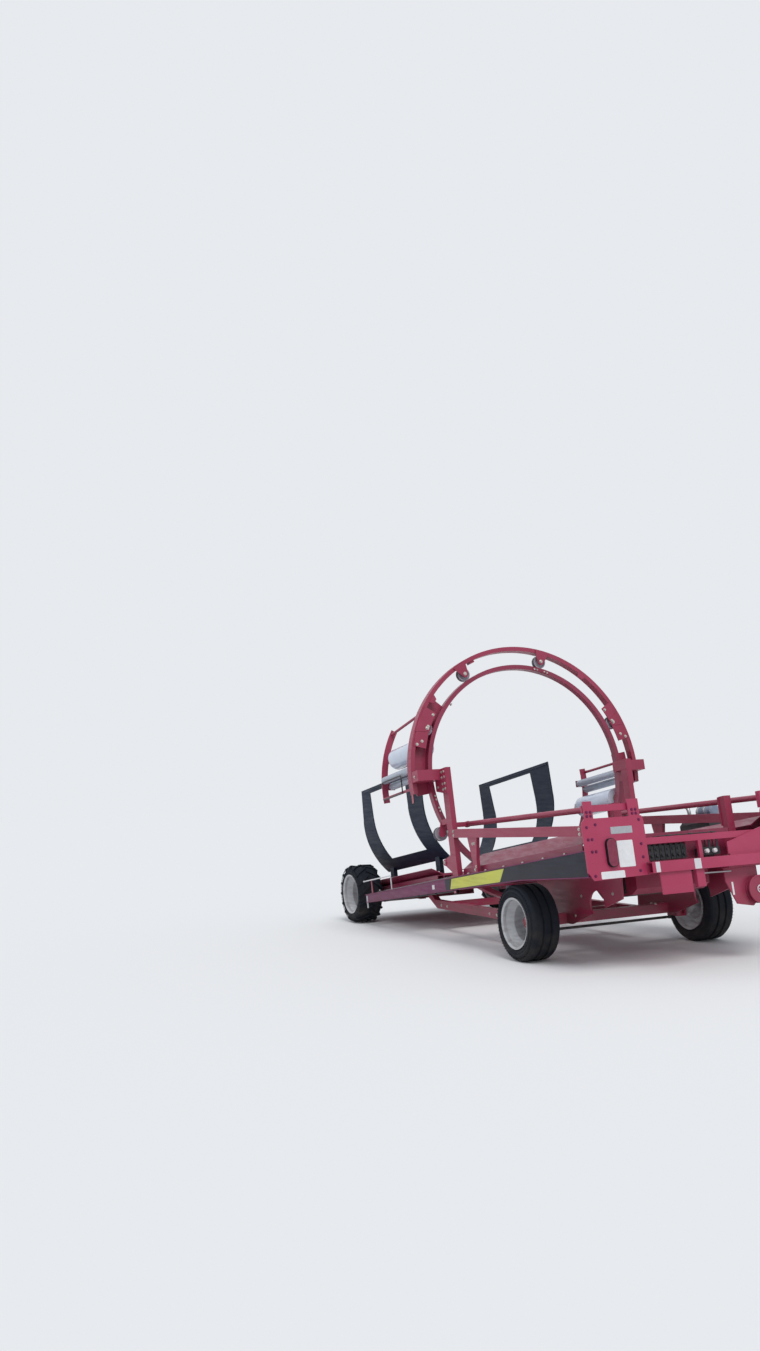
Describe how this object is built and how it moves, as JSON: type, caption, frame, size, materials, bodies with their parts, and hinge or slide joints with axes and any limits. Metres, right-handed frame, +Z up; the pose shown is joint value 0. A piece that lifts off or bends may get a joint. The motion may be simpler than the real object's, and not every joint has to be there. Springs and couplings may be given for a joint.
{
  "type": "round bale wrapper",
  "caption": "Towed in-line wrapper: a tilted deck on four wheels carries round bales through a turning hoop that winds stretch film round them.",
  "frame": {"origin": "centre of the overall box in X and Y, on the ground", "axes": "+X towards the loading end, +Y to the far side of the picture (the machine's left), +Z up"},
  "size_m": [6.4053, 3.0018, 3.3505],
  "materials": {
    "purple_paint": "satin",
    "red_paint": "satin",
    "black_paint": "satin",
    "roller_steel": "satin",
    "roller_grey": "matte",
    "lamp_red": "gloss",
    "engine_black": "matte",
    "filter_grey": "satin",
    "cylinder_black": "gloss",
    "rod_chrome": "polished",
    "film_white": "gloss",
    "tyre": "matte",
    "rim_grey": "satin"
  },
  "bodies": {
    "chassis": {"side_beams": "purple_paint", "chassis_rails": "purple_paint", "front_subframe": "purple_paint", "rear_axle": "purple_paint", "front_axle": "purple_paint", "front_deck": "purple_paint", "rear_deck": "purple_paint", "hitch": "purple_paint", "fixed_ring": "purple_paint", "hoop_post_near": "purple_paint", "hoop_post_far": "purple_paint", "guard_rails": "purple_paint", "guard_tubes": "purple_paint", "drum_unit": "purple_paint", "hoop_motor": "purple_paint", "tail_roller": "roller_steel", "guide_near": "black_paint", "guide_far": "black_paint", "guide_rollers": "roller_grey", "corner_plates": "red_paint", "front_beams": "red_paint", "hang_plate": "red_paint", "tail_lamps": "lamp_red", "engine": "engine_black", "air_filter": "filter_grey", "oil_tank": "purple_paint", "push_barrels": "cylinder_black"},
    "hoop": {"turning_ring": "purple_paint", "dispenser_a": "purple_paint", "dispenser_b": "purple_paint", "film_a": "film_white", "film_b": "film_white", "stretch_rollers_a": "roller_steel", "stretch_rollers_b": "roller_steel"},
    "knuckle_near": {"knuckle_near": "purple_paint"},
    "knuckle_far": {"knuckle_far": "purple_paint"},
    "tie_rod": {"tie_rod": "cylinder_black"},
    "pusher": {"push_gate": "purple_paint", "push_rods": "rod_chrome"},
    "wheel_front_near": {"tyre_front_near": "tyre", "rim_front_near": "rim_grey"},
    "wheel_front_far": {"tyre_front_far": "tyre", "rim_front_far": "rim_grey"},
    "wheel_rear_near": {"tyre_rear_near": "tyre", "rim_rear_near": "rim_grey"},
    "wheel_rear_far": {"tyre_rear_far": "tyre", "rim_rear_far": "rim_grey"}
  },
  "joints": [
    {"name": "hoop_spin", "type": "hinge", "parent": "chassis", "child": "hoop", "pos_m": [0.03259, 0, 1.85736], "axis": [0.9903, 0, 0.1392], "continuous": true},
    {"name": "push_slide", "type": "slide", "parent": "chassis", "child": "pusher", "axis": [0.9903, 0, 0.1392], "range_m": [-2.2, 0]},
    {"name": "steer_near", "type": "hinge", "parent": "chassis", "child": "knuckle_near", "pos_m": [1.69469, -0.76, 0.376], "axis": [0, 0, 1], "range_deg": [-20, 20]},
    {"name": "steer_far", "type": "hinge", "parent": "chassis", "child": "knuckle_far", "pos_m": [1.69469, 0.76, 0.376], "axis": [0, 0, 1], "range_deg": [-20, 20]},
    {"name": "tie_rod_pivot", "type": "hinge", "parent": "knuckle_near", "child": "tie_rod", "pos_m": [1.54469, -0.76, 0.262], "axis": [0, 0, 1], "range_deg": [-20, 20]},
    {"name": "wheel_front_near_spin", "type": "hinge", "parent": "knuckle_near", "child": "wheel_front_near", "pos_m": [1.69469, -1.046, 0.376], "axis": [0, 1, 0], "continuous": true},
    {"name": "wheel_front_far_spin", "type": "hinge", "parent": "knuckle_far", "child": "wheel_front_far", "pos_m": [1.69469, 1.046, 0.376], "axis": [0, 1, 0], "continuous": true},
    {"name": "wheel_rear_near_spin", "type": "hinge", "parent": "chassis", "child": "wheel_rear_near", "pos_m": [-2.70131, -1.046, 0.376], "axis": [0, 1, 0], "continuous": true},
    {"name": "wheel_rear_far_spin", "type": "hinge", "parent": "chassis", "child": "wheel_rear_far", "pos_m": [-2.70131, 1.046, 0.376], "axis": [0, 1, 0], "continuous": true}
  ],
  "couplings": [
    {"joint": "steer_far", "follows": "steer_near", "ratio": 1},
    {"joint": "tie_rod_pivot", "follows": "steer_near", "ratio": -1}
  ]
}
